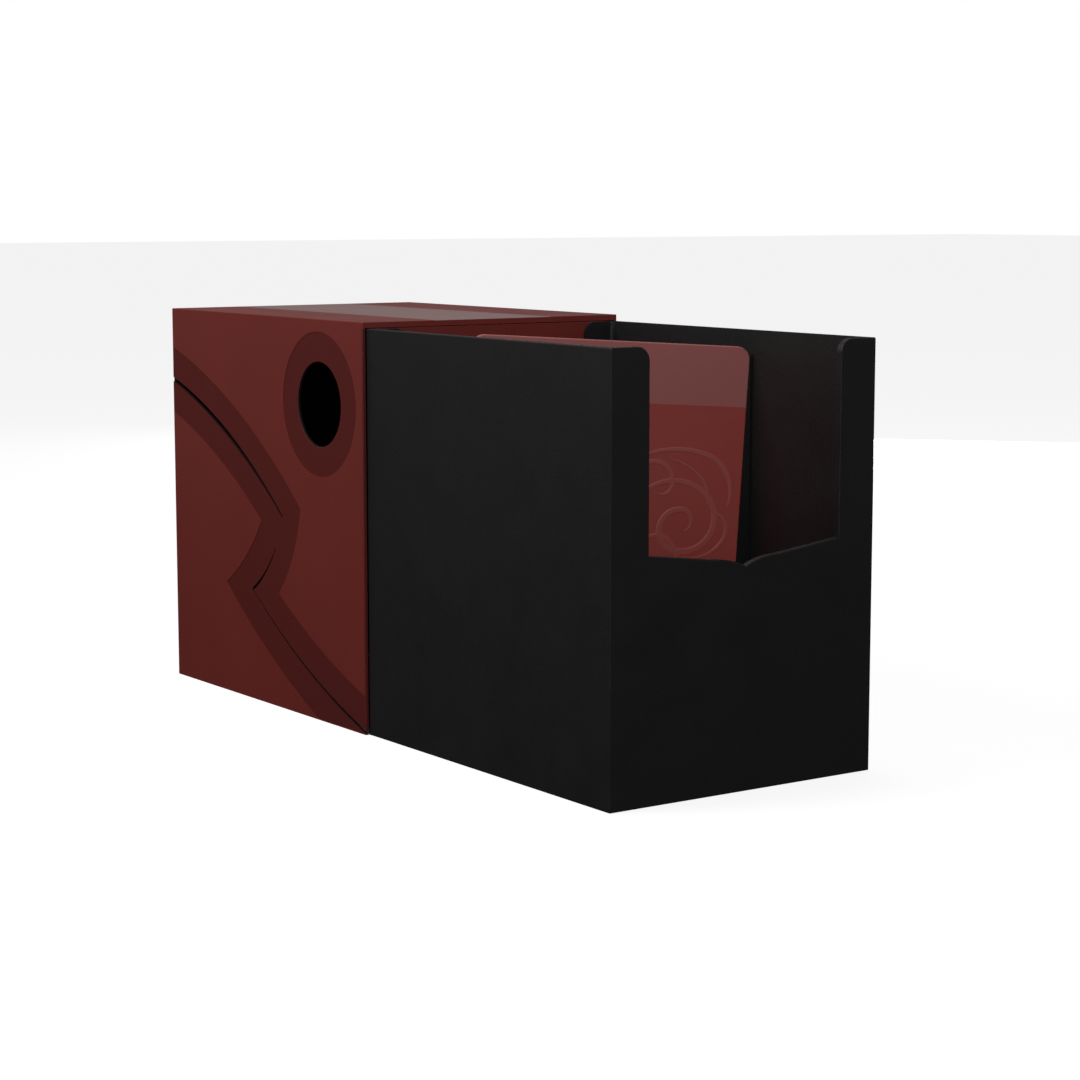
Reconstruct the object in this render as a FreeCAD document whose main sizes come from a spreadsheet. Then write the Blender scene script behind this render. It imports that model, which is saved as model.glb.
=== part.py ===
import FreeCAD, Part
import math
import os

import Sketcher
from FreeCAD import Placement, Rotation, Vector

# Card deck box: a slide-off cover, a card tray with a rear plate, and a loose divider.  The tray
# stands in front of the cover's mouth, drawn right out.  Millimetres, +Z up, the tray drawn out
# towards -Y, origin under the middle of the whole box on the surface that it stands on.

DIMENSIONS = {
    # tray
    "tray_width": 70.8,
    "tray_length": 94.6,
    "tray_height": 95.0,
    "tray_wall": 1.5,
    "tray_floor": 2.0,
    "tray_inner_round": 1.0,
    "tray_edge_round": 0.2,
    "rim_round": 0.25,
    # thumb notch, the same in the tray's front and rear walls
    "notch_width": 51.2,
    "notch_shoulder_round": 3.0,
    "notch_side_depth": 42.7,
    "notch_knee_offset": 8.6,
    "notch_knee_depth": 44.8,
    "notch_tip_depth": 46.7,
    "notch_tip_round": 22.0,
    # plate let into the rear face of the tray, which closes the rear notch
    "plate_width": 66.0,
    "plate_foot": 3.0,
    "plate_thickness": 0.8,
    # cover
    "cover_wall": 0.8,
    "cover_top": 1.35,
    "cover_back": 1.2,
    "side_clearance": 0.15,
    "top_clearance": 0.15,
    "back_clearance": 0.3,
    "cover_edge_round": 0.2,
    "pulled_gap": 0.2,
    # finger hole and the ring round it, from the mouth and from the top
    "finger_hole_round": 10.1,
    "finger_hole_setback": 20.35,
    "finger_hole_drop": 20.2,
    "ring_round": 17.2,
    "hole_edge_round": 0.15,
    # inset ring and band on each side
    "inset_thickness": 0.3,
    "inset_sunk": 0.1,
    "inset_margin": 0.2,
    # zigzag slit and its band: setbacks run forward from the rear edge, drops down from the top
    "band_half_width": 8.1,
    "band_tooth_bow": 1.25,
    "slit_start_drop": 18.4,
    "slit_upper_setback": 57.3,
    "slit_upper_drop": 49.0,
    "slit_lower_setback": 41.6,
    "slit_lower_drop": 68.7,
    "slit_end_drop": 95.9,
    "slit_upper_bow": 3.2,
    "slit_middle_bow": 2.3,
    "slit_lower_bow": 2.45,
    "slit_start_width": 1.0,
    "slit_swell_width": 1.3,
    "slit_upper_width": 0.55,
    "slit_tooth_width": 0.25,
    "slit_lower_width": 0.8,
    "slit_hair_width": 0.3,
    "slit_end_width": 0.9,
    "slit_tooth_start": 0.35,
    "slit_rear_depth": 0.3,
    # divider: its lower right corner stands on the tray floor, seen from the front
    "divider_width": 65.4,
    "divider_height": 89.0,
    "divider_thickness": 1.2,
    "divider_corner_round": 3.0,
    "divider_edge_round": 0.3,
    "divider_turn": 19.0,
    "divider_tilt": 3.45,
    "divider_side_gap": 0.35,
    "divider_floor_gap": 0.3,
    "divider_setback": 41.2,
}

BEYOND = 1.0            # how far a cutting solid stands out of what it cuts
LEAST_CUT = 0.01        # smallest volume that counts as a cut
SAME_PLACE = 1e-4       # two places nearer than this are one
BAND_OVERRUN = 0.25     # parts of the zigzag's end arcs that its band runs past their ends
SLIT_OVERRUN = 0.03     # and its slits


# ---------------------------------------------------------------- document helpers

def make_sheet(doc):
    sheet = doc.addObject("Spreadsheet::Sheet", "dims")
    for row, (alias, value) in enumerate(DIMENSIONS.items(), start=1):
        sheet.set("A%d" % row, alias)
        sheet.set("B%d" % row, str(value))
        sheet.setAlias("B%d" % row, alias)
    doc.recompute()
    return sheet


def origin_plane(body, role):
    for feature in body.Origin.OriginFeatures:
        if feature.Role == role:
            return feature
    raise RuntimeError("no plane %s in %s" % (role, body.Label))


def make_body(doc, label):
    body = doc.addObject("PartDesign::Body", label)
    body.Label = label
    return body


def make_sketch(body, name, role, offset=None):
    sketch = body.newObject("Sketcher::SketchObject", name)
    sketch.AttachmentSupport = [(origin_plane(body, role), "")]
    sketch.MapMode = "FlatFace"
    if offset:
        sketch.setExpression("AttachmentOffset.Base.z", offset)
    return sketch


def bind(sketch, index, name, expression):
    sketch.renameConstraint(index, name)
    sketch.setExpression("Constraints." + name, expression)


def arc_middle(start, end, radius, side):
    """Middle point of the arc from start to end; side +1 bows it to the left of the chord."""
    chord = end - start
    half = chord.Length / 2
    rise = radius - math.sqrt(radius ** 2 - half ** 2)
    left = Vector(-chord.y, chord.x, 0).normalize()
    return (start + end) / 2 + left * rise * side


def draw_outline(sketch, corners, arcs=None):
    """Closed outline through corners, pairs of expressions; arcs: side number to (radius, side)."""
    arcs = arcs or {}
    points = [Vector(sketch.evalExpression(x), sketch.evalExpression(y), 0) for x, y in corners]
    count = len(points)
    for i, start in enumerate(points):
        end = points[(i + 1) % count]
        if i in arcs:
            radius, side = arcs[i]
            middle = arc_middle(start, end, sketch.evalExpression(radius), side)
            sketch.addGeometry(Part.Arc(start, middle, end), False)
        else:
            sketch.addGeometry(Part.LineSegment(start, end), False)
    # a sketch stores an arc that turns clockwise from its end to its start
    ends = {}
    for i, start in enumerate(points):
        swapped = (sketch.getPoint(i, 2) - start).Length < (sketch.getPoint(i, 1) - start).Length
        ends[i] = (2, 1) if swapped else (1, 2)
    for i in range(count):
        following = (i + 1) % count
        sketch.addConstraint(
            Sketcher.Constraint("Coincident", i, ends[i][1], following, ends[following][0]))
    for i, (x, y) in enumerate(corners):
        index = sketch.addConstraint(
            Sketcher.Constraint("DistanceX", i, ends[i][0], points[i].x))
        bind(sketch, index, "x%d" % i, x)
        index = sketch.addConstraint(
            Sketcher.Constraint("DistanceY", i, ends[i][0], points[i].y))
        bind(sketch, index, "y%d" % i, y)
    for i, (radius, _) in arcs.items():
        index = sketch.addConstraint(
            Sketcher.Constraint("Radius", i, sketch.evalExpression(radius)))
        bind(sketch, index, "r%d" % i, radius)
    return sketch


def draw_rectangle(sketch, low_x, high_x, low_y, high_y):
    return draw_outline(
        sketch, [(low_x, low_y), (high_x, low_y), (high_x, high_y), (low_x, high_y)])


def draw_circle(sketch, name, x, y, radius):
    centre = Vector(sketch.evalExpression(x), sketch.evalExpression(y), 0)
    size = sketch.evalExpression(radius)
    number = sketch.addGeometry(Part.Circle(centre, Vector(0, 0, 1), size), False)
    bind(sketch, sketch.addConstraint(
        Sketcher.Constraint("DistanceX", number, 3, centre.x)), name + "_x", x)
    bind(sketch, sketch.addConstraint(
        Sketcher.Constraint("DistanceY", number, 3, centre.y)), name + "_y", y)
    bind(sketch, sketch.addConstraint(
        Sketcher.Constraint("Radius", number, size)), name + "_r", radius)
    return sketch


def pad(body, sketch, name, length, reverse=False, both_ways=False):
    feature = body.newObject("PartDesign::Pad", name)
    feature.Profile = sketch
    feature.setExpression("Length", length)
    feature.Reversed = reverse
    feature.Midplane = both_ways
    body.Document.recompute()
    return feature


def pocket(body, sketch, name, length, reverse=False, both_ways=False):
    """Pocket that has to take material away, so its volume is compared."""
    before = body.Shape.Volume
    feature = body.newObject("PartDesign::Pocket", name)
    feature.Profile = sketch
    feature.setExpression("Length", length)
    feature.Reversed = reverse
    feature.Midplane = both_ways
    body.Document.recompute()
    if feature.Shape.Volume > before - LEAST_CUT:
        raise RuntimeError(name + " cuts nothing")
    return feature


def round_edges(body, name, radius, chosen):
    """Round the edges of the body's last feature for which chosen(edge) is true."""
    base = body.Tip
    edges = ["Edge%d" % (i + 1) for i, edge in enumerate(base.Shape.Edges) if chosen(edge)]
    if not edges:
        raise RuntimeError(name + " has no edges")
    feature = body.newObject("PartDesign::Fillet", name)
    feature.Base = (base, edges)
    feature.setExpression("Radius", radius)
    body.Document.recompute()
    return feature


def lies_on(edge, axis, value):
    """True where every point of the edge has this coordinate."""
    box = edge.BoundBox
    low, high = getattr(box, axis + "Min"), getattr(box, axis + "Max")
    return abs(low - value) < SAME_PLACE and abs(high - value) < SAME_PLACE


def is_along(edge, axis):
    """True for a straight edge along this axis."""
    if edge.Degenerated or edge.Curve.TypeId != "Part::GeomLine":
        return False
    return abs(getattr(edge.Curve.Direction, axis.lower())) > 0.999


# ---------------------------------------------------------------- tray

def make_card_tray(doc, size):
    """Open-topped box: front wall at y = 0, floor at z = 0, thumb notch in both end walls."""
    body = make_body(doc, "card_tray")
    block = draw_rectangle(
        make_sketch(body, "tray_plan", "XY_Plane"),
        "-dims.tray_width / 2", "dims.tray_width / 2", "0", "dims.tray_length")
    pad(body, block, "tray_block", "dims.tray_height")
    half, length, height = size("tray_width") / 2, size("tray_length"), size("tray_height")

    def outer_corner(edge):
        upright = is_along(edge, "Z")
        level = lies_on(edge, "Z", 0)
        return upright or level

    round_edges(body, "tray_outer_round", "dims.tray_edge_round", outer_corner)
    cavity = draw_rectangle(
        make_sketch(body, "tray_cavity_plan", "XY_Plane", "dims.tray_floor"),
        "-dims.tray_width / 2 + dims.tray_wall", "dims.tray_width / 2 - dims.tray_wall",
        "dims.tray_wall", "dims.tray_length - dims.tray_wall")
    pocket(body, cavity, "tray_cavity", "dims.tray_height", reverse=True)
    inner = half - size("tray_wall")

    def inner_corner(edge):
        return is_along(edge, "Z") and (lies_on(edge, "X", inner) or lies_on(edge, "X", -inner))

    round_edges(body, "tray_inner_round", "dims.tray_inner_round", inner_corner)

    half_notch = "dims.notch_width / 2"
    shoulder = half_notch + " + dims.notch_shoulder_round"
    top = "dims.tray_height"
    clear = "dims.tray_height + dims.tray_wall"
    arc_end = "dims.tray_height - dims.notch_shoulder_round"
    side_foot = "dims.tray_height - dims.notch_side_depth"
    knee = "dims.tray_height - dims.notch_knee_depth"
    tip = "dims.tray_height - dims.notch_tip_depth"
    corners = [
        ("-(%s)" % shoulder, top), ("-(%s)" % half_notch, arc_end),
        ("-(%s)" % half_notch, side_foot), ("-dims.notch_knee_offset", knee), ("0", tip),
        ("dims.notch_knee_offset", knee), (half_notch, side_foot), (half_notch, arc_end),
        (shoulder, top), (shoulder, clear), ("-(%s)" % shoulder, clear)]
    shoulder_arc = ("dims.notch_shoulder_round", 1)
    tip_arc = ("dims.notch_tip_round", 1)
    arcs = {0: shoulder_arc, 3: tip_arc, 4: tip_arc, 7: shoulder_arc}
    notch = draw_outline(make_sketch(body, "notch_front_view", "XZ_Plane"), corners, arcs)
    pocket(body, notch, "thumb_notches", "2 * (dims.tray_length + dims.tray_wall)", both_ways=True)

    def rim(edge):
        box = edge.BoundBox
        on_end_wall = lies_on(edge, "Y", 0) or lies_on(edge, "Y", length)
        if on_end_wall and box.ZMin > size("tray_floor"):
            return min(abs(box.XMax), abs(box.XMin)) < inner
        return lies_on(edge, "Z", height) and (lies_on(edge, "X", half) or lies_on(edge, "X", -half))

    round_edges(body, "tray_rim_round", "dims.rim_round", rim)
    seat = draw_plate(make_sketch(body, "plate_seat_view", "XZ_Plane", "-dims.tray_length"), clear)
    pocket(body, seat, "plate_seat", "dims.plate_thickness", reverse=True)
    body.setExpression("Placement.Base.y", FRONT_Y)
    return body


def draw_plate(sketch, top):
    return draw_rectangle(
        sketch, "-dims.plate_width / 2", "dims.plate_width / 2", "dims.plate_foot", top)


def make_rear_plate(doc):
    """Plate that lies flush in the tray's rear face and closes the rear notch."""
    body = make_body(doc, "rear_plate")
    view = draw_plate(
        make_sketch(body, "plate_view", "XZ_Plane", "-dims.tray_length"), "dims.tray_height")
    pad(body, view, "plate_pad", "dims.plate_thickness")
    body.setExpression("Placement.Base.y", FRONT_Y)
    return body


# ---------------------------------------------------------------- cover

COVER_WIDTH = "(dims.tray_width + 2 * dims.side_clearance + 2 * dims.cover_wall)"
COVER_HEIGHT = "(dims.tray_height + dims.top_clearance + dims.cover_top)"
COVER_LENGTH = "(dims.tray_length + dims.back_clearance + dims.cover_back)"
WHOLE_LENGTH = "(dims.tray_length + dims.pulled_gap + %s)" % COVER_LENGTH
FRONT_Y = "-%s / 2" % WHOLE_LENGTH
MOUTH_Y = "%s / 2 - %s" % (WHOLE_LENGTH, COVER_LENGTH)


class CoverFrame:
    """The cover's own sizes as numbers.  Its mouth is at y = 0 and its lower edge at z = 0."""

    def __init__(self, sheet, size):
        self.size = size
        self.half = sheet.evalExpression(COVER_WIDTH) / 2
        self.height = sheet.evalExpression(COVER_HEIGHT)
        self.length = sheet.evalExpression(COVER_LENGTH)

    def side_point(self, setback, drop):
        """Point of the side view (y, z) from its setback and its drop."""
        return Vector(self.length - setback, self.height - drop, 0)


def make_cover_body(doc, frame):
    """Inverted tub with no floor and no front: top, back wall and two side walls with a hole."""
    body = make_body(doc, "cover_body")
    block = draw_rectangle(
        make_sketch(body, "cover_plan", "XY_Plane"),
        "-%s / 2" % COVER_WIDTH, "%s / 2" % COVER_WIDTH, "0", COVER_LENGTH)
    pad(body, block, "cover_block", COVER_HEIGHT)

    def outer_edge(edge):
        return is_along(edge, "Z") or lies_on(edge, "Z", frame.height)

    round_edges(body, "cover_outer_round", "dims.cover_edge_round", outer_edge)
    inner_half = "dims.tray_width / 2 + dims.side_clearance"
    cavity = draw_rectangle(
        make_sketch(body, "cover_cavity_plan", "XY_Plane"),
        "-(%s)" % inner_half, inner_half, "-dims.cover_wall",
        "dims.tray_length + dims.back_clearance")
    pocket(body, cavity, "cover_cavity", "dims.tray_height + dims.top_clearance", reverse=True)

    hole_y = "dims.finger_hole_setback"
    hole_z = "%s - dims.finger_hole_drop" % COVER_HEIGHT
    hole = draw_circle(
        make_sketch(body, "finger_hole_view", "YZ_Plane"), "hole", hole_y, hole_z,
        "dims.finger_hole_round")
    pocket(body, hole, "finger_holes", "2 * " + COVER_WIDTH, both_ways=True)

    recess_view = make_sketch(body, "ring_recess_view", "YZ_Plane", COVER_WIDTH + " / 2")
    draw_circle(recess_view, "ring", hole_y, hole_z, "dims.ring_round")
    recess = pocket(body, recess_view, "ring_recess", "dims.inset_thickness + dims.inset_sunk")
    mirrored = body.newObject("PartDesign::Mirrored", "ring_recess_pair")
    mirrored.Originals = [recess]
    mirrored.MirrorPlane = (origin_plane(body, "YZ_Plane"), [""])
    body.Tip = mirrored
    doc.recompute()
    return body


# ---------------------------------------------------------------- zigzag band and slit

def turn_between(first, last):
    """Shorter turn from one angle to another, positive anticlockwise."""
    return (last - first + math.pi) % (2 * math.pi) - math.pi


class Bow:
    """Arc of the zigzag from start to end; side +1 bows it to the left of the chord."""

    def __init__(self, start, end, rise, side):
        self.start, self.end = start, end
        chord = end - start
        half = chord.Length / 2
        self.radius = (half ** 2 + rise ** 2) / (2 * rise)
        left = Vector(-chord.y, chord.x, 0).normalize() * side
        self.centre = (start + end) / 2 + left * (rise - self.radius)
        # +1 where the arc turns to the right, its left side being the outside
        self.left_is_outside = side
        self.first = self.angle_of(start)
        self.turn = turn_between(self.first, self.angle_of(end))

    def angle_of(self, point):
        return math.atan2(point.y - self.centre.y, point.x - self.centre.x)

    def offset_radius(self, distance):
        """Radius of the line that lies this far to the left of the arc."""
        return self.radius + distance * self.left_is_outside

    def point(self, fraction, distance=0.0):
        """Point at this fraction of the arc, this far to its left."""
        angle = self.first + self.turn * fraction
        reach = self.offset_radius(distance)
        return self.centre + Vector(math.cos(angle), math.sin(angle), 0) * reach

    def fraction_of(self, point):
        return turn_between(self.first, self.angle_of(point)) / self.turn


def zigzag(frame):
    """The three arcs of the zigzag, from the rear edge down to the mouth's lower corner."""
    size = frame.size
    start = frame.side_point(0, size("slit_start_drop"))
    upper = frame.side_point(size("slit_upper_setback"), size("slit_upper_drop"))
    lower = frame.side_point(size("slit_lower_setback"), size("slit_lower_drop"))
    end = frame.side_point(frame.length, size("slit_end_drop"))
    return [
        Bow(start, upper, size("slit_upper_bow"), -1),
        Bow(upper, lower, size("slit_middle_bow"), -1),
        Bow(lower, end, size("slit_lower_bow"), 1)]


def mitre(first, second, distance):
    """Where the lines this far to the left of two joined arcs meet, nearest to the joint."""
    joint = first.end
    r1, r2 = first.offset_radius(distance), second.offset_radius(distance)
    between = second.centre - first.centre
    gap = between.Length
    along = (r1 ** 2 - r2 ** 2 + gap ** 2) / (2 * gap)
    across = math.sqrt(r1 ** 2 - along ** 2)
    unit = between / gap
    foot = first.centre + unit * along
    normal = Vector(-unit.y, unit.x, 0)
    crossings = [foot + normal * across, foot - normal * across]
    return min(crossings, key=lambda point: (point - joint).Length)


def arc_edge(bow, distance, first, last):
    """Edge of the line this far to the left of the arc, between two fractions of it."""
    a = bow.point(first, distance)
    b = bow.point((first + last) / 2, distance)
    c = bow.point(last, distance)
    return Part.Arc(a, b, c).toShape(), a, c


def band_face(frame, bows):
    """Flat face in the side view: a strip to each side of the zigzag.

    The strip's rear edge follows a flatter arc down the tooth than the slit does.
    """
    upper, middle, lower = bows
    flatter = Bow(middle.start, middle.end, frame.size("band_tooth_bow"), -1)
    edges = []
    ends = []
    for side, tooth in ((1, flatter), (-1, middle)):
        distance = frame.size("band_half_width") * side
        first, last = mitre(upper, tooth, distance), mitre(tooth, lower, distance)
        spans = [
            (upper, -BAND_OVERRUN, upper.fraction_of(first)),
            (tooth, tooth.fraction_of(first), tooth.fraction_of(last)),
            (lower, lower.fraction_of(last), 1 + BAND_OVERRUN)]
        line = [arc_edge(bow, distance, *span) for bow, *span in spans]
        edges += [edge for edge, _, _ in line]
        ends.append((line[0][1], line[-1][2]))
    for left_end, right_end in zip(ends[0], ends[1]):
        edges.append(Part.makeLine(left_end, right_end))
    return Part.Face(Part.Wire(Part.__sortEdges__(edges)))


def taper_face(bow, first, last, first_width, last_width, middle_width=None):
    """Flat face along an arc between two fractions; without a middle width it tapers evenly."""
    fractions = (first, (first + last) / 2, last)
    widths = (first_width, middle_width or (first_width + last_width) / 2, last_width)
    left, right = (
        [bow.point(fraction, width * side) for fraction, width in zip(fractions, widths)]
        for side in (0.5, -0.5))
    edges = [
        Part.Arc(*left).toShape(), Part.makeLine(left[2], right[2]),
        Part.Arc(*right).toShape(), Part.makeLine(right[0], left[0])]
    return Part.Face(Part.Wire(Part.__sortEdges__(edges)))


def slit_faces(bows, size):
    """The through slits: rear edge to upper corner, down the tooth, lower corner to mouth."""
    upper, middle, lower = bows
    return [
        taper_face(
            upper, -SLIT_OVERRUN, 1, size("slit_start_width"), size("slit_upper_width"),
            size("slit_swell_width")),
        taper_face(
            middle, size("slit_tooth_start"), 1, size("slit_tooth_width"),
            size("slit_lower_width")),
        taper_face(lower, 0, 1 + SLIT_OVERRUN, size("slit_hair_width"), size("slit_end_width"))]


def stand_face(face, x):
    """Turn a face drawn in the side view (y, z) upright, into the plane x."""
    along, up, across = Vector(0, 1, 0), Vector(0, 0, 1), Vector(1, 0, 0)
    placed = face.copy()
    placed.Placement = Placement(Vector(x, 0, 0), Rotation(along, up, across, "ZXY"))
    return placed


def side_prism(face, side, outer, inner):
    """Prism over a side-view face between two distances from the middle plane, on one side."""
    low, high = sorted((side * outer, side * inner))
    return stand_face(face, low).extrude(Vector(high - low, 0, 0))


def add_shape(doc, name, shape):
    feature = doc.addObject("Part::Feature", name)
    feature.Shape = shape
    return feature


def make_cutters(doc, frame, bows):
    """Solids that are cut from the cover: slits through both side walls, and band recesses."""
    size = frame.size
    outside = frame.half + BEYOND
    depth = size("inset_thickness") + size("inset_sunk")
    slits, recesses = [], []
    for side in (1, -1):
        slits.append(slit_solid(frame, bows, side, outside))
        recesses.append(band_slab(frame, bows, side, frame.half - depth, outside))
    slit_tool = add_shape(doc, "slit_tool", Part.makeCompound(slits))
    recess_tool = add_shape(doc, "band_recess_tool", Part.makeCompound(recesses))
    return slit_tool, recess_tool


def slit_solid(frame, bows, side, outside):
    """The slits of one side wall.  Over the back wall's edge they are only a shallow groove."""
    size = frame.size
    inside = frame.half - size("cover_wall") - size("side_clearance")
    groove_floor = frame.half - size("slit_rear_depth")
    ahead_of_back = Part.makeBox(
        4 * frame.half, frame.length - size("cover_back") + BEYOND, frame.height + 2 * BEYOND,
        Vector(-2 * frame.half, -BEYOND, -BEYOND))
    faces = slit_faces(bows, size)
    through = [side_prism(face, side, outside, inside).common(ahead_of_back) for face in faces]
    groove = side_prism(faces[0], side, outside, groove_floor)
    return fused(through + [groove])


def fused(solids):
    return solids[0].multiFuse(solids[1:])


def band_slab(frame, bows, side, inner, outer):
    """Band between two distances from the middle plane, kept off the side wall's rounded edges."""
    margin = frame.size("inset_margin")
    prism = side_prism(band_face(frame, bows), side, outer, inner)
    low = min(side * inner, side * outer)
    window = Part.makeBox(
        abs(outer - inner), frame.length - 2 * margin, frame.height - 2 * margin,
        Vector(low, margin, margin))
    return prism.common(window)


def make_cover_shell(doc, cover_body, slit_tool, recess_tool):
    cut_bands = doc.addObject("Part::Cut", "cover_with_recesses")
    cut_bands.Base = cover_body
    cut_bands.Tool = recess_tool
    shell = doc.addObject("Part::Cut", "cover_shell")
    shell.Label = "cover_shell"
    shell.Base = cut_bands
    shell.Tool = slit_tool
    shell.setExpression("Placement.Base.y", MOUTH_Y)
    return shell


def make_side_band(doc, frame, bows, slit_tool, side, label):
    """Flush inset band with the slits cut through it."""
    size = frame.size
    outer = frame.half - size("inset_sunk")
    inner = outer - size("inset_thickness")
    strip = add_shape(doc, label + "_strip", band_slab(frame, bows, side, inner, outer))
    band = doc.addObject("Part::Cut", label)
    band.Label = label
    band.Base = strip
    band.Tool = slit_tool
    band.setExpression("Placement.Base.y", MOUTH_Y)
    return band


def make_hole_ring(doc, frame, side, label):
    """Flush inset ring round a finger hole."""
    body = make_body(doc, label)
    outer_face = "(%s / 2 - dims.inset_sunk)" % COVER_WIDTH
    start = outer_face if side < 0 else "(%s - dims.inset_thickness)" % outer_face
    offset = "-" + start if side < 0 else start
    view = make_sketch(body, label + "_view", "YZ_Plane", offset)
    hole_z = "%s - dims.finger_hole_drop" % COVER_HEIGHT
    draw_circle(view, "outer", "dims.finger_hole_setback", hole_z, "dims.ring_round")
    draw_circle(view, "inner", "dims.finger_hole_setback", hole_z, "dims.finger_hole_round")
    pad(body, view, label + "_pad", "dims.inset_thickness")
    outer_x = side * (frame.half - frame.size("inset_sunk"))
    hole_round = frame.size("finger_hole_round")

    def hole_edge(edge):
        return lies_on(edge, "X", outer_x) and abs(edge.Curve.Radius - hole_round) < SAME_PLACE

    round_edges(body, label + "_round", "dims.hole_edge_round", hole_edge)
    body.setExpression("Placement.Base.y", MOUTH_Y)
    return body


# ---------------------------------------------------------------- divider

def make_divider(doc, sheet, size):
    """Flat plate with rounded upper corners.  Its lower front right corner is its own origin."""
    body = make_body(doc, "divider")
    left = "-dims.divider_width"
    top = "dims.divider_height"
    curve = "dims.divider_corner_round"
    corners = [
        (left, "0"), ("0", "0"), ("0", "%s - %s" % (top, curve)), ("-" + curve, top),
        ("%s + %s" % (left, curve), top), (left, "%s - %s" % (top, curve))]
    arcs = {2: (curve, -1), 4: (curve, -1)}
    view = draw_outline(make_sketch(body, "divider_view", "XZ_Plane"), corners, arcs)
    pad(body, view, "divider_plate", "dims.divider_thickness", reverse=True)

    def face_edge(edge):
        return lies_on(edge, "Y", 0) or lies_on(edge, "Y", size("divider_thickness"))

    round_edges(body, "divider_round", "dims.divider_edge_round", face_edge)
    # tilted in its own plane until its upper right corner meets the tray's right wall, then turned
    tilt = Rotation(Vector(0, 1, 0), size("divider_tilt"))
    turn = Rotation(Vector(0, 0, 1), -size("divider_turn"))
    pose = turn.multiply(tilt)
    placed = body.Shape.copy()
    placed.Placement = Placement(Vector(0, 0, 0), pose)
    reach = placed.BoundBox.XMax
    inner_wall = size("tray_width") / 2 - size("tray_wall")
    x = inner_wall - size("divider_side_gap") - reach
    y = sheet.evalExpression(FRONT_Y) + size("divider_setback")
    z = size("tray_floor") + size("divider_floor_gap") - placed.BoundBox.ZMin
    body.Placement = Placement(Vector(x, y, z), pose)
    return body


# ---------------------------------------------------------------- build and export

def check_document(doc):
    doc.recompute()
    for item in doc.Objects:
        if "Invalid" in item.State or "Error" in item.State:
            raise RuntimeError("%s failed: %s" % (item.Label, item.State))


def export_part(part):
    shape = part.Shape
    if shape.isNull() or not shape.isValid():
        raise RuntimeError(part.Label + " has no valid shape")
    shape.exportStep("parts/%s.step" % part.Label)
    box = shape.BoundBox
    print("%-18s solids %d  volume %9.1f  x %.2f..%.2f  y %.2f..%.2f  z %.2f..%.2f" % (
        part.Label, len(shape.Solids), shape.Volume,
        box.XMin, box.XMax, box.YMin, box.YMax, box.ZMin, box.ZMax))


def main():
    doc = FreeCAD.newDocument("card_deck_box")
    sheet = make_sheet(doc)

    def size(name):
        return float(sheet.get(name))

    frame = CoverFrame(sheet, size)
    bows = zigzag(frame)
    cover_body = make_cover_body(doc, frame)
    slit_tool, recess_tool = make_cutters(doc, frame, bows)
    parts = [
        make_cover_shell(doc, cover_body, slit_tool, recess_tool),
        make_side_band(doc, frame, bows, slit_tool, -1, "side_band_left"),
        make_side_band(doc, frame, bows, slit_tool, 1, "side_band_right"),
        make_hole_ring(doc, frame, -1, "hole_ring_left"),
        make_hole_ring(doc, frame, 1, "hole_ring_right"),
        make_card_tray(doc, size),
        make_rear_plate(doc),
        make_divider(doc, sheet, size)]
    check_document(doc)
    os.makedirs("parts", exist_ok=True)
    for part in parts:
        export_part(part)


main()
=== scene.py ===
import math

import bmesh
import bpy
from mathutils import Matrix, Vector


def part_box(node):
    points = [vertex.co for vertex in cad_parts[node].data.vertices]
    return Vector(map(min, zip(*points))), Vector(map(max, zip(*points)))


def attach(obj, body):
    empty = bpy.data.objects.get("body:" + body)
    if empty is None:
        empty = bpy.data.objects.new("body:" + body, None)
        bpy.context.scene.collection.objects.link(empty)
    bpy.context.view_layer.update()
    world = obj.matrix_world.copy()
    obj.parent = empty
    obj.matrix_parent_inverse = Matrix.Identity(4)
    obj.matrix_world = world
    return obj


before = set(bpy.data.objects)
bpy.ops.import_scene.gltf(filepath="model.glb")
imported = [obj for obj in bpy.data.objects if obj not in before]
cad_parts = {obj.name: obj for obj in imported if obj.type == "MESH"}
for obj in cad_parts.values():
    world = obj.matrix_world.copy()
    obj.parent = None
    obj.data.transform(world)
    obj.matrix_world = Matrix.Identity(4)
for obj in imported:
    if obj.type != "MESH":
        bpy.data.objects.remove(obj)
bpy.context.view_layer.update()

MM = 0.001

# ---------------------------------------------------------------- sizes, in metres and degrees

COVER_LOW, COVER_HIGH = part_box("cover_shell")
BAND_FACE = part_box("side_band_right")[1].x

CAMERA_PLACE = Vector((-335.9, -501.8, 123.57)) * MM
CAMERA_AZIMUTH = 34.875      # degrees turned from +Y towards +X
CAMERA_DIP = 7.572           # degrees below level
CAMERA_LENS = 84.45
CAMERA_SENSOR = 36.0
CAMERA_NEAR = 0.01
CAMERA_FAR = 60.0

DIVIDER_TURN = 19.0          # degrees off square, seen from above
DIVIDER_TILT = 3.45          # degrees in its own plane
SHEEN_ZONE_DEPTH = 13.75 * MM    # depth of the paler zone along the divider's top edge, a painted reflection

TOP_STRIP_HALF = 16.6 * MM   # half width of the paler strip along the cover's top, a painted reflection of a light above
MOUTH_RIM = 0.35 * MM        # depth of the rim down the sides of the cover's mouth that is painted darker as shade
COVER_TOP_WALL = 1.5 * MM    # height at the top of the mouth that keeps the cover's own red
SKIN = 0.12 * MM             # depth of the coloured skin beside the slits and the finger hole; deeper, the cover is painted near-black as deep shade
EDGE_SKIN = 2 * SKIN         # and its depth along the cover's rounded back and top edges

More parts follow.
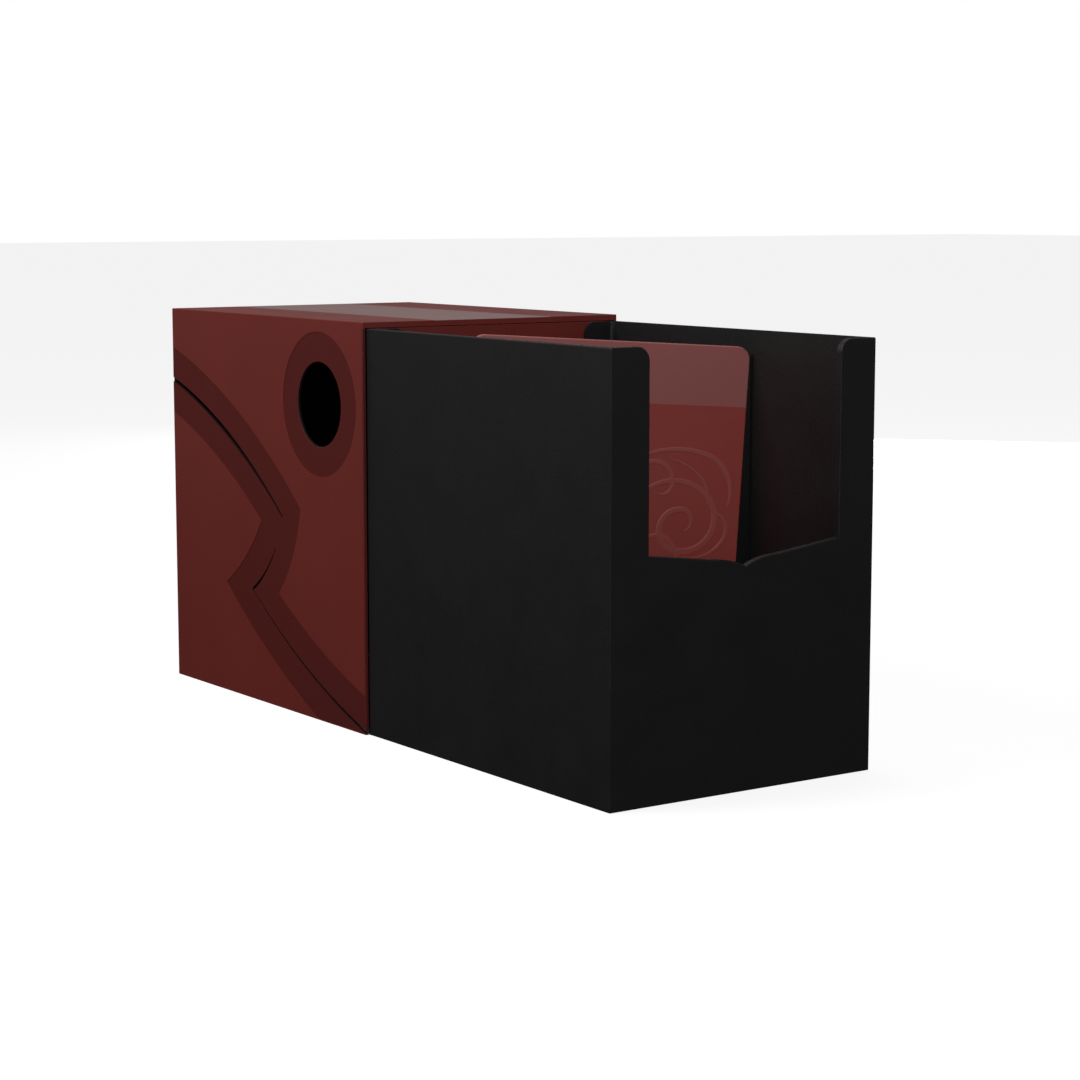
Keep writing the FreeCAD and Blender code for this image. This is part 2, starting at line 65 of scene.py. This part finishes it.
RELIEF_HEIGHT = 0.08 * MM    # how far the scroll's first stroke stands proud of the divider
RELIEF_STEP = 0.003 * MM     # and how much further each next one does, so that none lie level
RELIEF_ROOT = 0.06 * MM      # how deep the strokes are rooted in the divider
RELIEF_TOP = 0.45            # width of a stroke's flat top, as a share of its foot
STROKE_TIP = 0.16            # width of a stroke's ends, as a share of its middle
STROKE_SWELL = 0.7           # below 1, a stroke reaches its full width sooner
STROKE_STEP = 9.0            # degrees of a bend to one length of a stroke


# ---------------------------------------------------------------- camera

def make_camera():
    data = bpy.data.cameras.new("camera")
    data.lens = CAMERA_LENS
    data.sensor_width = CAMERA_SENSOR
    data.clip_start = CAMERA_NEAR
    data.clip_end = CAMERA_FAR
    camera = bpy.data.objects.new("camera", data)
    bpy.context.collection.objects.link(camera)
    camera.location = CAMERA_PLACE
    camera.rotation_euler = (
        math.radians(90 - CAMERA_DIP), 0.0, math.radians(-CAMERA_AZIMUTH))
    bpy.context.scene.camera = camera


# ---------------------------------------------------------------- material kit

# places of a colour Mix node's sockets
MIX_FIRST, MIX_SECOND, MIX_RESULT = 6, 7, 2

NOISE_LOW, NOISE_HIGH = 0.3, 0.7     # most of a noise lies between these
DRIFT_SCALE = 24.0           # features to a metre of the colour's slow drift
HANDLED_SCALE = 75.0         # of the patches that handling has polished
WAVE_SCALE = 18.0            # and of a thin moulded wall's waviness
MOTTLE_SHADE = 0.88          # brightness of the fine mottle's darker spots
MOTTLE_SHARE = 0.4           # and how much of it shows
PLASTIC_INDEX = 1.49


class Finish:
    """A material's node tree, with short ways to add nodes and join them."""

    def __init__(self, name):
        self.material = bpy.data.materials.new(name)
        self.material.use_nodes = True
        self.tree = self.material.node_tree
        self.shader = self.tree.nodes["Principled BSDF"]
        self.place = self.add("ShaderNodeTexCoord").outputs["Object"]

    def add(self, kind, **settings):
        node = self.tree.nodes.new(kind)
        for key, value in settings.items():
            setattr(node, key, value)
        return node

    def feed(self, socket, value):
        """Join a socket to a value, or set it when the value is plain."""
        if isinstance(value, bpy.types.NodeSocket):
            self.tree.links.new(value, socket)
        elif isinstance(value, tuple) and len(value) == 3 and len(socket.default_value) == 4:
            socket.default_value = (*value, 1.0)
        else:
            socket.default_value = value

    def math(self, operation, first, second=0.0):
        node = self.add("ShaderNodeMath", operation=operation)
        self.feed(node.inputs[0], first)
        self.feed(node.inputs[1], second)
        return node.outputs["Value"]

    def axes(self, place=None):
        node = self.add("ShaderNodeSeparateXYZ")
        self.feed(node.inputs["Vector"], place or self.place)
        return node.outputs["X"], node.outputs["Y"], node.outputs["Z"]

    def noise(self, scale, detail=2.0, roughness=0.5):
        """Even noise from 0 to 1, with about this many features to a metre."""
        node = self.add("ShaderNodeTexNoise")
        node.inputs["Scale"].default_value = scale
        node.inputs["Detail"].default_value = detail
        node.inputs["Roughness"].default_value = roughness
        self.feed(node.inputs["Vector"], self.place)
        return node.outputs["Fac"]

    def spread(self, noise, low, high):
        """The noise spread over low to high."""
        node = self.add("ShaderNodeMapRange")
        self.feed(node.inputs["Value"], noise)
        node.inputs["From Min"].default_value = NOISE_LOW
        node.inputs["From Max"].default_value = NOISE_HIGH
        node.inputs["To Min"].default_value = low
        node.inputs["To Max"].default_value = high
        return node.outputs["Result"]

    def blend(self, amount, first, second):
        node = self.add("ShaderNodeMix", data_type="RGBA")
        self.feed(node.inputs["Factor"], amount)
        self.feed(node.inputs[MIX_FIRST], first)
        self.feed(node.inputs[MIX_SECOND], second)
        return node.outputs[MIX_RESULT]

    def bump(self, height, distance, normal=None):
        node = self.add("ShaderNodeBump")
        node.inputs["Distance"].default_value = distance
        self.feed(node.inputs["Height"], height)
        if normal:
            self.feed(node.inputs["Normal"], normal)
        return node.outputs["Normal"]

    def colour(self, value):
        self.feed(self.shader.inputs["Base Color"], value)

    def roughness(self, value):
        self.feed(self.shader.inputs["Roughness"], value)

    def mottled(self, colour, shade, grain):
        """Colour that drifts slowly to a shade of it, with a fine mottle at the grain's scale."""
        drift = self.spread(self.noise(DRIFT_SCALE, detail=3.0), 0.0, 1.0)
        drifting = self.blend(drift, colour, shade)
        deep = tuple(channel * MOTTLE_SHADE for channel in colour)
        return self.blend(self.spread(self.noise(grain), 0.0, MOTTLE_SHARE), drifting, deep)

    def moulded_grain(self, grain, depth, waves):
        """Spark-eroded grain of a mould, over the slow waviness of a thin moulded wall."""
        slow = self.bump(self.noise(WAVE_SCALE, detail=1.0), waves)
        fine = self.bump(self.noise(grain, detail=3.0, roughness=0.65), depth, slow)
        self.feed(self.shader.inputs["Normal"], fine)

    def gloss(self, low, high, index=PLASTIC_INDEX):
        """Roughness that drifts between low and high, as where a surface has been handled."""
        self.shader.inputs["IOR"].default_value = index
        return self.spread(self.noise(HANDLED_SCALE, detail=4.0, roughness=0.6), low, high)


# ---------------------------------------------------------------- finishes

COVER_RED = (0.240, 0.0300, 0.0220)
COVER_RED_SHADE = (0.215, 0.0260, 0.0190)
# painted shade for the rim of the cover's mouth beside the tray
COVER_RIM_SHADE_RED = (0.140, 0.0170, 0.0130)
INSET_RED = (0.138, 0.0172, 0.0138)
INSET_RED_SHADE = (0.122, 0.0150, 0.0120)
DIVIDER_RED = (0.470, 0.0760, 0.0610)
DIVIDER_RED_SHADE = (0.435, 0.0680, 0.0540)
BLACK = (0.0115, 0.0115, 0.0117)
BLACK_SHADE = (0.0095, 0.0095, 0.0097)
# painted deep shade: near-black, far darker than the tray's black plastic, for the cover's inside
# and the walls of its slits and finger hole
INSIDE_PAINTED_SHADE = (0.0012, 0.0010, 0.0010)
# pale grey, used for the scroll's real frost and for the painted reflections on the cover's top
# strip and the divider's top zone
FROST_AND_SHEEN_GREY = (0.62, 0.62, 0.62)

TOP_STRIP_SHEEN = 0.26       # share of pale grey in the strip's colour: painted reflection
# share of pale grey in the divider's top zone: painted reflection
DIVIDER_SHEEN_SHARE = 0.13
SCROLL_FROST = 0.06
TOP_STRIP_POLISH = 0.08      # how much less rough the strip is than the cover
SHEEN_ZONE_DULLING = 0.12  # how much rougher the zone is than the divider
INSIDE_DULLING = 0.4
INSET_INDEX = 1.32


def under_skin(finish, face):
    """1 deeper than the skin of the cover, whose side faces lie this far from the middle; this
    part is painted near-black as deep shade.
    """
    x, y, z = finish.axes()
    inside_sides = finish.math("LESS_THAN", finish.math("ABSOLUTE", x), face - SKIN)
    behind_mouth = finish.math("GREATER_THAN", y, COVER_LOW.y + SKIN)
    ahead_of_back = finish.math("LESS_THAN", y, COVER_HIGH.y - EDGE_SKIN)
    below_top = finish.math("LESS_THAN", z, COVER_HIGH.z - EDGE_SKIN)
    along = finish.math("MULTIPLY", behind_mouth, ahead_of_back)
    return finish.math("MULTIPLY", finish.math("MULTIPLY", inside_sides, along), below_top)


def on_top_strip(finish):
    """1 on the paler strip that runs along the middle of the cover's top, where a reflection of a
    light above is painted into the colour.
    """
    x, _, z = finish.axes()
    near_middle = finish.math("LESS_THAN", finish.math("ABSOLUTE", x), TOP_STRIP_HALF)
    on_top = finish.math("GREATER_THAN", z, COVER_HIGH.z - SKIN)
    return finish.math("MULTIPLY", near_middle, on_top)


def on_shaded_mouth_rim(finish):
    """1 on the rim down the sides of the cover's mouth, painted darker as shade where the tray
    sits close.
    """
    _, y, z = finish.axes()
    at_mouth = finish.math("LESS_THAN", y, COVER_LOW.y + MOUTH_RIM)
    below_top = finish.math("LESS_THAN", z, COVER_HIGH.z - COVER_TOP_WALL)
    return finish.math("MULTIPLY", at_mouth, below_top)


def make_cover_red():
    finish = Finish("cover_red")
    red = finish.mottled(COVER_RED, COVER_RED_SHADE, grain=1400.0)
    strip = on_top_strip(finish)
    # painted reflection: the top strip's colour is blended towards pale grey
    top_sheened = finish.blend(finish.math("MULTIPLY", strip, TOP_STRIP_SHEEN), red, FROST_AND_SHEEN_GREY)
    # painted shade: the mouth's rim is darkened
    rim_shaded = finish.blend(on_shaded_mouth_rim(finish), top_sheened, COVER_RIM_SHADE_RED)
    # painted deep shade: the inside of the cover is made near-black
    inside = under_skin(finish, COVER_HIGH.x)
    finish.colour(finish.blend(inside, rim_shaded, INSIDE_PAINTED_SHADE))
    rough = finish.gloss(low=0.40, high=0.48)
    rough = finish.math("SUBTRACT", rough, finish.math("MULTIPLY", strip, TOP_STRIP_POLISH))
    dulling = finish.math("MULTIPLY", inside, INSIDE_DULLING)
    finish.roughness(finish.math("ADD", rough, dulling))
    finish.moulded_grain(grain=2400.0, depth=0.03 * MM, waves=0.06 * MM)
    return finish.material


def make_plate_red():
    finish = Finish("plate_red")
    finish.colour(finish.mottled(COVER_RED, COVER_RED_SHADE, grain=1400.0))
    finish.roughness(finish.gloss(low=0.40, high=0.48))
    finish.moulded_grain(grain=2400.0, depth=0.03 * MM, waves=0.04 * MM)
    return finish.material


def make_inset_red():
    finish = Finish("inset_dark_red")
    red = finish.mottled(INSET_RED, INSET_RED_SHADE, grain=2600.0)
    # painted deep shade: the walls of the slits through the band are made near-black
    finish.colour(finish.blend(under_skin(finish, BAND_FACE), red, INSIDE_PAINTED_SHADE))
    finish.roughness(finish.gloss(low=0.58, high=0.66, index=INSET_INDEX))
    finish.moulded_grain(grain=3600.0, depth=0.05 * MM, waves=0.03 * MM)
    return finish.material


def make_tray_black():
    finish = Finish("tray_black")
    finish.colour(finish.mottled(BLACK, BLACK_SHADE, grain=1800.0))
    finish.roughness(finish.gloss(low=0.42, high=0.52))
    finish.moulded_grain(grain=2400.0, depth=0.04 * MM, waves=0.08 * MM)
    return finish.material


def make_divider_red(origin, turned, height):
    """Semi-gloss red, with a paler zone along the top edge painted in as a reflection; the zone
    is also rougher.
    """
    finish = Finish("divider_red")
    mapping = finish.add("ShaderNodeMapping", vector_type="TEXTURE")
    mapping.inputs["Location"].default_value = origin
    mapping.inputs["Rotation"].default_value = turned.to_euler("XYZ")
    finish.feed(mapping.inputs["Vector"], finish.place)
    _, _, up = finish.axes(mapping.outputs["Vector"])
    zone = finish.math("GREATER_THAN", up, height - SHEEN_ZONE_DEPTH)
    red = finish.mottled(DIVIDER_RED, DIVIDER_RED_SHADE, grain=1200.0)
    # painted reflection along the divider's top edge
    frost_and_sheen = finish.math("MULTIPLY", zone, DIVIDER_SHEEN_SHARE)
    finish.colour(finish.blend(frost_and_sheen, red, FROST_AND_SHEEN_GREY))
    dulling = finish.math("MULTIPLY", zone, SHEEN_ZONE_DULLING)
    finish.roughness(finish.math("ADD", finish.gloss(low=0.34, high=0.42), dulling))
    finish.moulded_grain(grain=1900.0, depth=0.02 * MM, waves=0.05 * MM)
    return finish.material


def make_scroll_red():
    finish = Finish("scroll_frosted_red")
    pale = tuple(
        red * (1 - SCROLL_FROST) + frost_and_sheen * SCROLL_FROST for red, frost_and_sheen in zip(DIVIDER_RED, FROST_AND_SHEEN_GREY))
    finish.colour(finish.mottled(pale, DIVIDER_RED, grain=1600.0))
    finish.roughness(finish.gloss(low=0.46, high=0.56))
    finish.moulded_grain(grain=3000.0, depth=0.02 * MM, waves=0.01 * MM)
    return finish.material


def paint(node, material):
    """Give a carried-over CAD node its finish."""
    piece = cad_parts[node]
    piece.data.materials.clear()
    piece.data.materials.append(material)


# ---------------------------------------------------------------- divider's raised scroll

def divider_pose():
    """The divider's turn, its lower right front corner and its width and height."""
    turned = (Matrix.Rotation(math.radians(-DIVIDER_TURN), 3, "Z")
              @ Matrix.Rotation(math.radians(DIVIDER_TILT), 3, "Y"))
    back = turned.inverted()
    places = [back @ vertex.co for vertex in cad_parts["divider"].data.vertices]
    low = Vector(min(place[axis] for place in places) for axis in range(3))
    high = Vector(max(place[axis] for place in places) for axis in range(3))
    corner = turned @ Vector((high.x, low.y, low.z))
    return turned, corner, high.x - low.x, high.z - low.z


def stroke_section(bm, place, heading, width, proud):
    """Closed cross-section of a stroke: wide foot below the face, narrower flat top above it."""
    across = Vector((-math.sin(heading), math.cos(heading), 0.0)) * width / 2
    down = Vector((0.0, 0.0, -RELIEF_ROOT))
    up = Vector((0.0, 0.0, proud))
    corners = [place + across + down, place + across * RELIEF_TOP + up,
               place - across * RELIEF_TOP + up, place - across + down]
    verts = [bm.verts.new(corner) for corner in corners]
    return [bm.edges.new((verts[i], verts[(i + 1) % 4])) for i in range(4)]


def section_verts(edges):
    return list({vert for edge in edges for vert in edge.verts})


def narrow(bm, verts, share, heading):
    """Draw a cross-section in to this share of its width, across its heading."""
    middle = sum((vert.co for vert in verts), Vector()) / len(verts)
    level = Matrix.Rotation(-heading, 4, "Z") @ Matrix.Translation((-middle.x, -middle.y, 0))
    bmesh.ops.scale(bm, vec=(1.0, share, 1.0), space=level, verts=verts)


def draw_stroke(bm, start, heading, bends, width, proud):
    """Stroke of tangent arcs, thin at both ends.  A bend is (radius, degrees to the left)."""
    place = Vector((start[0], start[1], 0.0)) * MM
    heading = math.radians(heading)
    edges = stroke_section(bm, place, heading, width * MM, proud)
    sections = [(section_verts(edges), heading)]
    first = list(edges)
    for radius, degrees in bends:
        side = math.copysign(1.0, degrees)
        left = Vector((-math.sin(heading), math.cos(heading), 0.0))
        centre = place + left * radius * MM * side
        steps = max(2, round(abs(degrees) / STROKE_STEP))
        angle = math.radians(degrees) / steps
        turn = Matrix.Rotation(angle, 3, "Z")
        for _ in range(steps):
            made = bmesh.ops.extrude_edge_only(bm, edges=edges)["geom"]
            verts = [item for item in made if isinstance(item, bmesh.types.BMVert)]
            edges = [item for item in made if isinstance(item, bmesh.types.BMEdge)
                     and all(vert in verts for vert in item.verts)]
            bmesh.ops.rotate(bm, cent=centre, matrix=turn, verts=verts)
            place = centre + turn @ (place - centre)
            heading += angle
            sections.append((verts, heading))
    bmesh.ops.contextual_create(bm, geom=first)
    bmesh.ops.contextual_create(bm, geom=edges)
    last = len(sections) - 1
    for i, (verts, at_heading) in enumerate(sections):
        swell = math.sin(math.pi * i / last) ** STROKE_SWELL if 0 < i < last else 0.0
        narrow(bm, verts, STROKE_TIP + (1 - STROKE_TIP) * swell, at_heading)


# start (from the divider's middle and foot), heading in degrees, bends and width, in millimetres
SCROLL = [
    ((1.5, 24.0), 62.0, [(38, 34), (11.0, -142), (7.6, -150), (4.8, -170), (2.6, -150)], 2.3),
    ((2.5, 40.0), -58.0, [(34, -22), (10.0, 140), (6.8, 150), (4.2, 170), (2.4, 140)], 2.1),
    ((3.0, 60.0), 40.0, [(22, -58), (9.0, -92)], 1.8),
    ((7.2, 50.5), 128.0, [(7.5, -96), (4.6, -130), (2.6, -120)], 1.6),
    ((9.0, 30.0), 8.0, [(12.0, 46), (7.0, 95), (3.6, 110)], 1.6),
    ((19.5, 40.5), -12.0, [(9.0, 70), (4.4, 120)], 1.4),
    ((14.5, 63.0), -8.0, [(15.0, -34), (7.0, -60)], 1.1),
    ((3.0, 18.0), -6.0, [(13.0, -38), (6.5, -95), (3.2, -110)], 1.7),
]
SCROLL_STEM = ((0.0, 13.0), 90.0, [(400.0, 3.4), (400.0, -3.4)], 1.5)


def mirrored(stroke):
    """The same stroke on the other side of the divider's middle."""
    (across, up), heading, bends, width = stroke
    flipped = [(radius, -degrees) for radius, degrees in bends]
    return (-across, up), 180.0 - heading, flipped, width


def make_scroll(turned, corner, width):
    bm = bmesh.new()
    strokes = SCROLL + [mirrored(stroke) for stroke in SCROLL] + [SCROLL_STEM]
    for i, stroke in enumerate(strokes):
        draw_stroke(bm, *stroke, RELIEF_HEIGHT + i * RELIEF_STEP)
    # from the flat drawing, x across and y up, to the divider's front face
    upright = Matrix.Rotation(math.radians(90), 4, "X")
    foot_middle = Matrix.Translation(corner + turned @ Vector((-width / 2, 0, 0)))
    bm.transform(foot_middle @ turned.to_4x4() @ upright)
    bmesh.ops.recalc_face_normals(bm, faces=bm.faces[:])
    mesh = bpy.data.meshes.new("divider_scroll")
    bm.to_mesh(mesh)
    bm.free()
    scroll = bpy.data.objects.new("divider_scroll", mesh)
    bpy.context.collection.objects.link(scroll)
    mesh.materials.append(make_scroll_red())
    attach(scroll, "divider")
    return scroll


# ---------------------------------------------------------------- floor and light

FLOOR_SIZE = 14.0
FLOOR_GLOW = 0.86            # even light that the floor shows of its own
FLOOR_SHADE = (0.34, 0.34, 0.34)
GLOW_INSET = 1.0 * MM        # how far the glow's edges are drawn from the cover's outline
# the world's light from straight below (0) to straight above (1): where, and how bright
SKY_STOPS = [(0.46, 0.02), (0.52, 0.24), (1.0, 0.01)]
SOFTBOXES = {
    # name: place, aim, width and height in metres, power in watts
    "key_softbox": ((-0.34, 0.07, 0.37), (0.0, 0.0, 0.03), 0.20, 0.20, 0.87),
    "front_softbox": ((-0.30, -0.72, 0.34), (0.0, -0.05, 0.05), 0.24, 0.24, 1.38),
    "top_softbox": ((0.10, 0.15, 0.80), (0.0, 0.0, 0.05), 0.50, 0.50, 1.5),
    "rear_softbox": ((0.55, 0.52, 0.045), (0.0, 0.02, 0.045), 0.40, 0.07, 2.4),
}


def open_floor_glow(finish):
    """The floor's glow, but none inside the floorless cover, where the dark is a painted shadow.
    """
    x, y, _ = finish.axes()
    beside = finish.math("GREATER_THAN", finish.math("ABSOLUTE", x), COVER_HIGH.x - GLOW_INSET)
    ahead = finish.math("LESS_THAN", y, COVER_LOW.y - GLOW_INSET)
    behind = finish.math("GREATER_THAN", y, COVER_HIGH.y - GLOW_INSET)
    outside = finish.math("MAXIMUM", beside, finish.math("MAXIMUM", ahead, behind))
    return finish.math("MULTIPLY", outside, FLOOR_GLOW)


def make_floor():
    bpy.ops.mesh.primitive_plane_add(size=FLOOR_SIZE, location=(0, 0, 0))
    floor = bpy.context.object
    floor.name = "floor"
    floor.visible_diffuse = False
    floor.visible_glossy = False
    finish = Finish("floor_pale")
    finish.colour(FLOOR_SHADE)
    finish.roughness(1.0)
    finish.shader.inputs["Specular IOR Level"].default_value = 0.0
    finish.shader.inputs["Emission Color"].default_value = (1.0, 1.0, 1.0, 1.0)
    finish.feed(finish.shader.inputs["Emission Strength"], open_floor_glow(finish))
    floor.data.materials.append(finish.material)


def make_world():
    """White behind the box; a dim sky, darker below, for the light that falls on it."""
    world = bpy.data.worlds.new("studio")
    bpy.context.scene.world = world
    world.use_nodes = True
    tree = world.node_tree
    join = tree.links.new
    background = tree.nodes["Background"]
    seen = tree.nodes.new("ShaderNodeLightPath")
    place = tree.nodes.new("ShaderNodeTexCoord")
    axes = tree.nodes.new("ShaderNodeSeparateXYZ")
    ramp = tree.nodes.new("ShaderNodeValToRGB")
    lift = tree.nodes.new("ShaderNodeMapRange")
    mix = tree.nodes.new("ShaderNodeMix")
    mix.data_type = "RGBA"
    lift.inputs["From Min"].default_value = -1.0
    join(place.outputs["Generated"], axes.inputs["Vector"])
    join(axes.outputs["Z"], lift.inputs["Value"])
    join(lift.outputs["Result"], ramp.inputs["Fac"])
    ramp.color_ramp.elements.new(SKY_STOPS[1][0])
    for element, (position, level) in zip(ramp.color_ramp.elements, SKY_STOPS):
        element.position = position
        element.color = (level, level, level, 1.0)
    join(seen.outputs["Is Camera Ray"], mix.inputs["Factor"])
    join(ramp.outputs["Color"], mix.inputs[MIX_FIRST])
    mix.inputs[MIX_SECOND].default_value = (1.0, 1.0, 1.0, 1.0)
    join(mix.outputs[MIX_RESULT], background.inputs["Color"])


def make_softbox(name, place, aim, width, height, power):
    data = bpy.data.lights.new(name, "AREA")
    data.shape = "RECTANGLE"
    data.size = width
    data.size_y = height
    data.energy = power
    light = bpy.data.objects.new(name, data)
    bpy.context.collection.objects.link(light)
    light.location = place
    light.rotation_euler = (Vector(aim) - Vector(place)).to_track_quat("-Z", "Y").to_euler()
    light.visible_camera = False


# ---------------------------------------------------------------- build

def build():
    make_camera()
    turned, corner, width, height = divider_pose()
    finishes = {
        "cover_shell": make_cover_red(),
        "rear_plate": make_plate_red(),
        "card_tray": make_tray_black(),
        "divider": make_divider_red(corner, turned, height)}
    inset_red = make_inset_red()
    for side in ("left", "right"):
        finishes["side_band_" + side] = inset_red
        finishes["hole_ring_" + side] = inset_red
    for node, material in finishes.items():
        paint(node, material)
    make_scroll(turned, corner, width)
    make_floor()
    make_world()
    for name, settings in SOFTBOXES.items():
        make_softbox(name, *settings)
    bpy.context.scene.view_settings.view_transform = "Standard"


build()
